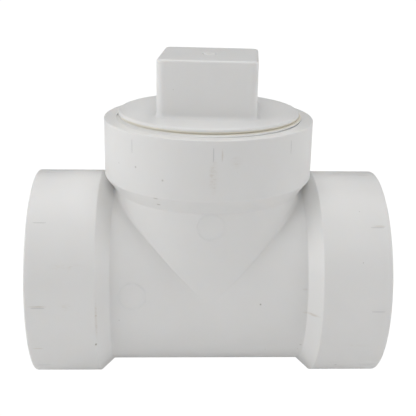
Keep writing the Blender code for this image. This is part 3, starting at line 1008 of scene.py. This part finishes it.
def satin_pvc(name, base, looks, grain_size, painted_shade, scuffs=(), stains=()):
    """Satin moulded PVC with grain, a slow change of tone, specks, scuffs, stains and, where a band is given,
    painted shade in a crease.
    """
    material = bpy.data.materials.new(name)
    material.use_nodes = True
    n = Nodes(material.node_tree)
    shader = material.node_tree.nodes["Principled BSDF"]
    place = n.add("ShaderNodeTexCoord").outputs["Object"]
    surface = n.add(
        "ShaderNodeGroup", {"Place": place, "Grain Size": grain_size},
        node_tree=shared_group("moulded_surface", moulded_surface_group),
    )
    dim = [c * DIM_TONE for c in base]
    colour_socket = n.tinted(n.ramp(surface.outputs["Tone"], 0.3, 0.7), (*dim, 1.0), base)
    specks = n.add(
        "ShaderNodeGroup", {"Place": place}, node_tree=shared_group("burnt_specks", speck_group)
    )
    shown = n.maths("MULTIPLY", specks.outputs["Mask"], SPECK_STRENGTH)
    colour_socket = n.tinted(shown, colour_socket, looks.speck_colour)
    # Painted shade, warm as light scattered in the plastic, laid in a crease where a band is given
    colour_socket = add_painted_shade(n, place, colour_socket, painted_shade, looks)
    colour_socket = add_patches(n, place, colour_socket, scuffs, looks.scuff_colour)
    colour_socket = add_patches(n, place, colour_socket, stains, looks.speck_colour)
    n.tree.links.new(colour_socket, shader.inputs["Base Color"])
    rough = n.ramp(surface.outputs["Height"], 0.3, 0.7, looks.roughness - 0.05, looks.roughness + 0.07)
    n.tree.links.new(rough, shader.inputs["Roughness"])
    bump = n.add(
        "ShaderNodeBump",
        {"Height": surface.outputs["Height"], "Strength": 0.25, "Distance": looks.grain_depth},
    )
    n.tree.links.new(bump.outputs[0], shader.inputs["Normal"])
    shader.inputs["Specular IOR Level"].default_value = 0.45
    shader.inputs["IOR"].default_value = 1.53
    shader.inputs["Subsurface Weight"].default_value = looks.depth_share
    shader.inputs["Subsurface Scale"].default_value = looks.depth
    shader.inputs["Subsurface Radius"].default_value = (1.0, 0.9, 0.8)
    return material


def tee_plastic(context):
    """The tee's plastic, with the rubbed places that its hubs show."""
    looks = context.scene.plastic_looks
    made = bpy.data.materials.get("tee_satin_pvc")
    patches = SCUFFS.values(), STAINS.values()
    return made or satin_pvc("tee_satin_pvc", looks.tee_colour, looks, TEE_GRAIN, None, *patches)


def mark_painted_shade_plastic(context):
    """The plastic of the raised lines, a little darker: painted shade along each line."""
    looks = context.scene.plastic_looks
    made = bpy.data.materials.get("mark_painted_shade_pvc")
    # Painted shade: the lines' colour is the tee's darkened, to draw the shading of their relief
    dim = [c * looks.mark_painted_shade for c in looks.tee_colour]
    return made or satin_pvc("mark_painted_shade_pvc", dim, looks, TEE_GRAIN, None)


def plug_plastic(context):
    """The plug's plastic, a shade cooler and finer grained than the tee's, with painted shade in the crease
    under its disc.
    """
    looks = context.scene.plastic_looks
    plug = context.scene.plug_sizes
    made = bpy.data.materials.get("plug_satin_pvc")
    foot = plug.top - plug.disc_edge
    # Painted shade: a warm band from 0.3 mm under the disc's edge to 0.9 mm up it, 28 to 40 mm from the axis
    painted_shade = (foot - 0.3 * MM, foot + 0.9 * MM, 28 * MM, 40 * MM, 0.3 * MM)
    return made or satin_pvc("plug_satin_pvc", looks.plug_colour, looks, PLUG_GRAIN, painted_shade)


def wrap_group():
    """Geometry node group that lays a flat drawing on a cylinder about Z.

    X of the drawing runs round the cylinder, Y stands out of it and Z runs along it.
    """
    group = new_group(
        "wrap_on_cylinder", "GeometryNodeTree",
        [("Drawing", "NodeSocketGeometry", None), ("Cylinder Radius", "NodeSocketFloat", 30 * MM)],
        [("Drawing", "NodeSocketGeometry")],
    )
    n = Nodes(group)
    given = n.add("NodeGroupInput").outputs
    place = n.add("ShaderNodeSeparateXYZ", {0: n.add("GeometryNodeInputPosition").outputs[0]}).outputs
    turn = n.maths("DIVIDE", place[0], given["Cylinder Radius"])
    out = n.maths("ADD", place[1], given["Cylinder Radius"])
    x = n.maths("MULTIPLY", out, n.maths("COSINE", turn))
    y = n.maths("MULTIPLY", out, n.maths("SINE", turn))
    wrapped = n.point(x, y, place[2])
    moved = n.add("GeometryNodeSetPosition", {"Geometry": given["Drawing"], "Position": wrapped})
    n.add("NodeGroupOutput", {"Drawing": moved.outputs[0]})
    return group


# A raised line's lens is this many times as deep as it stands proud, and shows this share of its width
LENS_DEPTH = 5.0
LENS_SHARE = 0.6


def finish_tree(n, given, drawing):
    """Sink a drawing, wrap it on its cylinder, turn it into place and give it its material."""
    down = n.point(y=n.maths("MULTIPLY", given["Proud"], 1 - LENS_DEPTH))
    sunk = n.add("GeometryNodeTransform", {"Geometry": drawing, "Translation": down})
    wrapped = n.add(
        "GeometryNodeGroup", {"Drawing": sunk.outputs[0], "Cylinder Radius": given["Cylinder Radius"]},
        node_tree=shared_group("wrap_on_cylinder", wrap_group),
    )
    turned = n.add("GeometryNodeTransform", {"Geometry": wrapped.outputs[0], "Rotation": given["Turn"]})
    real = n.add("GeometryNodeRealizeInstances", {"Geometry": turned.outputs[0]})
    painted = n.add("GeometryNodeSetMaterial", {"Geometry": real.outputs[0], "Material": given["Material"]})
    n.add("NodeGroupOutput", {"Geometry": painted.outputs[0]})


COMMON_SOCKETS = [
    ("Cylinder Radius", "NodeSocketFloat", 30 * MM), ("Turn", "NodeSocketRotation", None),
    ("Material", "NodeSocketMaterial", None), ("Line Width", "NodeSocketFloat", 0.3 * MM),
    ("Proud", "NodeSocketFloat", 0.05 * MM), ("Along", "NodeSocketFloat", 0.0),
    ("Round", "NodeSocketFloat", 0.0),
]


def lens_profile(n, given):
    """Cross-section of a raised line: a lens that is then sunk until its cap stands proud."""
    ring = n.add("GeometryNodeCurvePrimitiveCircle", {"Resolution": 8, "Radius": 0.5}, mode="RADIUS")
    wide = n.maths("DIVIDE", given["Line Width"], LENS_SHARE)
    size = n.point(wide, n.maths("MULTIPLY", given["Proud"], 2 * LENS_DEPTH), 1.0)
    return n.add("GeometryNodeTransform", {"Geometry": ring.outputs[0], "Scale": size}).outputs[0]


def marks_tree():
    """Geometry nodes: short lines along the axis, evenly spaced round a hub."""
    inputs = COMMON_SOCKETS + [("Count", "NodeSocketInt", 8), ("Mark Length", "NodeSocketFloat", 5.6 * MM)]
    group = new_group("alignment_marks", "GeometryNodeTree", inputs, [("Geometry", "NodeSocketGeometry")])
    n = Nodes(group)
    given = n.add("NodeGroupInput").outputs
    girth = n.maths("MULTIPLY", given["Cylinder Radius"], TURN)
    step = n.maths("DIVIDE", girth, given["Count"])
    start = n.maths("MULTIPLY", given["Cylinder Radius"], given["Round"])
    origin = n.point(start, 0.0, given["Along"])
    spots = n.add(
        "GeometryNodeMeshLine",
        {"Count": given["Count"], "Start Location": origin, "Offset": n.point(step)}, mode="OFFSET",
    )
    end = n.point(z=given["Mark Length"])
    line = n.add("GeometryNodeCurvePrimitiveLine", {"Start": (0.0, 0.0, 0.0), "End": end})
    line = n.add("GeometryNodeResampleCurve", {"Curve": line.outputs[0], "Count": 9})
    tip = n.add("GeometryNodeSplineParameter").outputs["Factor"]
    away = n.maths("ABSOLUTE", n.maths("SUBTRACT", n.maths("MULTIPLY", tip, 2.0), 1.0))
    thin = n.maths("SQRT", n.maths("MAXIMUM", n.maths("SUBTRACT", 1.0, n.maths("POWER", away, 6.0)), 0.02))
    line = n.add("GeometryNodeSetCurveRadius", {"Curve": line.outputs[0], "Radius": thin})
    bar = n.add(
        "GeometryNodeCurveToMesh",
        {"Curve": line.outputs[0], "Profile Curve": lens_profile(n, given), "Scale": thin, "Fill Caps": True},
    )
    bars = n.add("GeometryNodeInstanceOnPoints", {"Points": spots.outputs[0], "Instance": bar.outputs[0]})
    real = n.add("GeometryNodeRealizeInstances", {"Geometry": bars.outputs[0]})
    finish_tree(n, given, real.outputs[0])
    return group


def ring_tree():
    """Geometry nodes: a raised ring on the side of a tube."""
    inputs = COMMON_SOCKETS + [("Ring Radius", "NodeSocketFloat", 4.2 * MM)]
    group = new_group("moulded_ring", "GeometryNodeTree", inputs, [("Geometry", "NodeSocketGeometry")])
    n = Nodes(group)
    given = n.add("NodeGroupInput").outputs
    circle = n.add(
        "GeometryNodeCurvePrimitiveCircle", {"Resolution": 64, "Radius": given["Ring Radius"]}, mode="RADIUS"
    )
    start = n.maths("MULTIPLY", given["Cylinder Radius"], given["Round"])
    place = n.point(start, 0.0, given["Along"])
    circle = n.add(
        "GeometryNodeTransform",
        {"Geometry": circle.outputs[0], "Translation": place, "Rotation": (math.radians(90), 0.0, 0.0)},
    )
    ring = n.add(
        "GeometryNodeCurveToMesh", {"Curve": circle.outputs[0], "Profile Curve": lens_profile(n, given)}
    )
    finish_tree(n, given, ring.outputs[0])
    return group


def grown_mesh(name, tree, values):
    """Mesh that a geometry node tree makes with these values for its named inputs."""
    base = bpy.data.meshes.new(name + "_seed")
    holder = bpy.data.objects.new(name + "_seed", base)
    bpy.context.scene.collection.objects.link(holder)
    modifier = holder.modifiers.new("grow", "NODES")
    modifier.node_group = tree
    for item in tree.interface.items_tree:
        if item.item_type == "SOCKET" and item.in_out == "INPUT" and item.name in values:
            modifier[item.identifier] = values[item.name]
    evaluated = holder.evaluated_get(bpy.context.evaluated_depsgraph_get())
    mesh = bpy.data.meshes.new_from_object(evaluated)
    holder.modifiers.remove(modifier)
    bpy.data.objects.remove(holder)
    bpy.data.meshes.remove(base)
    shape = bmesh.new()
    shape.from_mesh(mesh)
    bmesh.ops.remove_doubles(shape, verts=shape.verts, dist=MERGE)
    bmesh.ops.recalc_face_normals(shape, faces=shape.faces)
    shape.to_mesh(mesh)
    shape.free()
    mesh.name = name
    mesh.shade_smooth()
    if not mesh.polygons:
        raise RuntimeError(f"{name} came out empty")
    return mesh


def joined_mesh(name, meshes):
    """Several meshes as one."""
    shape = bmesh.new()
    for mesh in meshes:
        shape.from_mesh(mesh)
    joined = bpy.data.meshes.new(name)
    shape.to_mesh(joined)
    shape.free()
    joined.shade_smooth()
    for mesh in meshes:
        bpy.data.meshes.remove(mesh)
    return joined


class CLEANOUT_OT_tee(bpy.types.Operator):
    """Make the moulded tee with its fillets, sockets and female thread"""

    bl_idname = "cleanout.tee"
    bl_label = "Make Tee"

    def execute(self, context):
        tee, thread, _ = sizes_of(context)
        piece = link_piece("moulded_tee", tee_mesh(tee, thread), tee_plastic(context), "tee")
        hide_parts("tee_body")
        return {"FINISHED"}


class CLEANOUT_OT_plug(bpy.types.Operator):
    """Make the screwed plug with its thread, disc and square head"""

    bl_idname = "cleanout.plug"
    bl_label = "Make Plug"

    def execute(self, context):
        tee, thread, plug = sizes_of(context)
        mesh = plug_mesh(plug, thread, tee.rim_height, NUB_HIGH.x)
        piece = link_piece("screwed_plug", mesh, plug_plastic(context), "plug")
        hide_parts("cleanout_plug")
        return {"FINISHED"}


class CLEANOUT_OT_nub(bpy.types.Operator):
    """Make the gate nub in the head's dimple"""

    bl_idname = "cleanout.nub"
    bl_label = "Make Gate Nub"

    def execute(self, context):
        mesh = nub_mesh(NUB_LOW, NUB_HIGH)
        piece = link_piece("gate_nub", mesh, plug_plastic(context), "plug_lift_carrier")
        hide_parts("plug_gate_nub")
        return {"FINISHED"}


class CLEANOUT_OT_marks(bpy.types.Operator):
    """Raise the alignment marks on the hubs and the rings on the tube walls"""

    bl_idname = "cleanout.marks"
    bl_label = "Make Moulded Marks"

    def execute(self, context):
        tee = context.scene.tee_sizes
        marks = context.scene.mark_sizes
        upright = (0.0, 0.0, 0.0)
        to_right = (0.0, math.radians(90), 0.0)
        common = {"Material": tee_plastic(context), "Proud": marks.proud}
        lines = dict(common, **{
            "Line Width": marks.mark_width, "Count": marks.count, "Mark Length": marks.mark_length,
        })
        rings = dict(common, **{"Line Width": marks.ring_width, "Ring Radius": marks.ring_radius})
        tree = marks_tree()
        reach = marks.mark_inset + marks.mark_length
        made = [
            grown_mesh("branch_marks", tree, dict(lines, **{
                "Cylinder Radius": tee.branch_radius, "Turn": upright, "Along": tee.rim_height - reach,
                "Round": FRONT + math.radians(0.5),
            })),
            grown_mesh("right_marks", tree, dict(lines, **{
                "Cylinder Radius": tee.hub_radius, "Turn": to_right,
                "Along": tee.run_half_length - reach, "Round": FRONT,
            })),
            grown_mesh("left_marks", tree, dict(lines, **{
                "Cylinder Radius": tee.hub_radius, "Turn": to_right,
                "Along": marks.mark_inset - tee.run_half_length, "Round": FRONT + math.radians(-2),
            })),
        ]
        lines_mesh = joined_mesh("alignment_lines", made)
        # The alignment lines wear the darker plastic, a painted shade along each line
        link_piece("alignment_lines", lines_mesh, mark_painted_shade_plastic(context), "tee")
        tree = ring_tree()
        made = [
            grown_mesh("neck_ring", tree, dict(rings, **{
                "Cylinder Radius": tee.body_radius, "Turn": upright, "Along": 26.6 * MM, "Round": FRONT,
            })),
            grown_mesh("run_ring", tree, dict(rings, **{
                "Cylinder Radius": tee.body_radius, "Turn": to_right, "Along": -24.5 * MM,
                "Round": FRONT + math.radians(-6),
            })),
        ]
        rings_mesh = joined_mesh("moulded_rings", made)
        link_piece("moulded_rings", rings_mesh, tee_plastic(context), "tee")
        return {"FINISHED"}


# Name, azimuth and elevation in degrees, width and power of each soft light
LIGHTS = (
    ("overhead", -90, 65, 0.8, 1.3),
    ("top", 90, 80, 0.6, 2.4),
    ("left_front", -150, 24, 0.5, 2.6),
    ("right_front", -25, 24, 0.5, 1.9),
    ("left_side", 180, 20, 0.6, 1.0),
    ("right_side", 0, 20, 0.6, 0.6),
    ("back_high", 90, 45, 0.6, 1.0),
    ("back_left", 150, 15, 0.6, 0.6),
    ("back_right", 30, 15, 0.6, 0.6),
)


def soft_light(name, azimuth, elevation, width, power, distance):
    """Square area light that faces the object from a direction."""
    centre = Vector((0.0, 0.0, 0.015))
    turn, rise = math.radians(azimuth), math.radians(elevation)
    towards = Vector((math.cos(rise) * math.cos(turn), math.cos(rise) * math.sin(turn), math.sin(rise)))
    light = bpy.data.lights.new(name, "AREA")
    light.size = width
    light.energy = power
    item = bpy.data.objects.new(name, light)
    bpy.context.scene.collection.objects.link(item)
    item.location = centre + distance * towards
    item.rotation_euler = (-towards).to_track_quat("-Z", "Y").to_euler()


class CLEANOUT_OT_stage(bpy.types.Operator):
    """Set up the floor, the studio light and the camera"""

    bl_idname = "cleanout.stage"
    bl_label = "Make Stage"

    def execute(self, context):
        looks = context.scene.stage_looks
        self.make_floor(context, looks)
        self.make_world(context, looks)
        for light in LIGHTS:
            soft_light(*light, looks.light_distance)
        self.make_camera(context, looks)
        context.scene.view_settings.view_transform = "Standard"
        return {"FINISHED"}

    def make_floor(self, context, looks):
        """Pale floor under the hubs, which looks evenly lit."""
        shape = bmesh.new()
        bmesh.ops.create_circle(shape, cap_ends=True, segments=96, radius=looks.floor_radius)
        mesh = bpy.data.meshes.new("studio_floor")
        shape.to_mesh(mesh)
        shape.free()
        mesh.transform(Matrix.Translation((0.0, 0.0, CAD_BOX[0].z)))
        material = bpy.data.materials.new("studio_floor")
        material.use_nodes = True
        n = Nodes(material.node_tree)
        shader = material.node_tree.nodes["Principled BSDF"]
        shader.inputs["Base Color"].default_value = (*looks.floor_colour, 1.0)
        shader.inputs["Roughness"].default_value = 0.9
        shader.inputs["Emission Color"].default_value = (1.0, 1.0, 1.0, 1.0)
        shader.inputs["Emission Strength"].default_value = looks.table_strength
        glow = n.add("ShaderNodeEmission", {"Color": (1.0, 1.0, 1.0, 1.0), "Strength": looks.seen_strength})
        path = n.add("ShaderNodeLightPath")
        seen = path.outputs["Is Camera Ray"]
        mixed = n.add("ShaderNodeMixShader", {0: seen, 1: shader.outputs[0], 2: glow.outputs[0]})
        output = material.node_tree.nodes["Material Output"]
        n.tree.links.new(mixed.outputs[0], output.inputs["Surface"])
        mesh.materials.append(material)
        floor = bpy.data.objects.new("studio_floor", mesh)
        context.scene.collection.objects.link(floor)

    def make_world(self, context, looks):
        """White walls that light the object softly from all round."""
        world = bpy.data.worlds.new("studio")
        world.use_nodes = True
        n = Nodes(world.node_tree)
        wall = world.node_tree.nodes["Background"]
        wall.inputs["Color"].default_value = (1.0, 1.0, 1.0, 1.0)
        path = n.add("ShaderNodeLightPath")
        seen = path.outputs["Is Camera Ray"]
        strength = n.ramp(seen, 0.0, 1.0, looks.world_strength, looks.seen_strength)
        n.tree.links.new(strength, wall.inputs["Strength"])
        context.scene.world = world

    def make_camera(self, context, looks):
        """Camera where the photograph was taken from."""
        x_axis, y_axis, forward = camera_axes(looks)
        turn = Matrix((x_axis, y_axis, -forward)).transposed()
        data = bpy.data.cameras.new("camera")
        data.lens = looks.lens
        data.sensor_width = SENSOR_WIDTH
        data.shift_x = looks.shift
        data.clip_start = 0.01
        data.clip_end = 20.0
        camera = bpy.data.objects.new("camera", data)
        camera.matrix_world = Matrix.Translation(looks.camera_place) @ turn.to_4x4()
        context.scene.collection.objects.link(camera)
        context.scene.camera = camera


class CLEANOUT_PT_panel(bpy.types.Panel):
    """Sizes, looks and makers of the cleanout tee"""

    bl_idname = "CLEANOUT_PT_panel"
    bl_label = "Cleanout Tee"
    bl_space_type = "VIEW_3D"
    bl_region_type = "UI"
    bl_category = "Cleanout Tee"

    def draw(self, context):
        for operator in OPERATORS:
            self.layout.operator(operator.bl_idname)
        for name in SETTINGS:
            box = self.layout.box()
            group = getattr(context.scene, name)
            for item in group.bl_rna.properties:
                if item.identifier not in ("rna_type", "name"):
                    box.prop(group, item.identifier)


SETTINGS = {
    "tee_sizes": TeeSizes,
    "thread_sizes": ThreadSizes,
    "plug_sizes": PlugSizes,
    "mark_sizes": MarkSizes,
    "plastic_looks": PlasticLooks,
    "stage_looks": StageLooks,
}
OPERATORS = (CLEANOUT_OT_stage, CLEANOUT_OT_tee, CLEANOUT_OT_plug, CLEANOUT_OT_nub, CLEANOUT_OT_marks)


def register():
    """Register the classes and hang the settings on the scene."""
    for item in (*SETTINGS.values(), *OPERATORS, CLEANOUT_PT_panel):
        bpy.utils.register_class(item)
    for name, group in SETTINGS.items():
        setattr(bpy.types.Scene, name, PointerProperty(type=group))


def unregister():
    """Take the settings and the classes away."""
    for name in SETTINGS:
        delattr(bpy.types.Scene, name)
    for item in reversed((*SETTINGS.values(), *OPERATORS, CLEANOUT_PT_panel)):
        bpy.utils.unregister_class(item)


def main():
    """Make the stage and every piece."""
    register()
    bpy.ops.cleanout.stage()
    bpy.ops.cleanout.tee()
    bpy.ops.cleanout.plug()
    bpy.ops.cleanout.nub()
    bpy.ops.cleanout.marks()


if __name__ == "__main__":
    main()
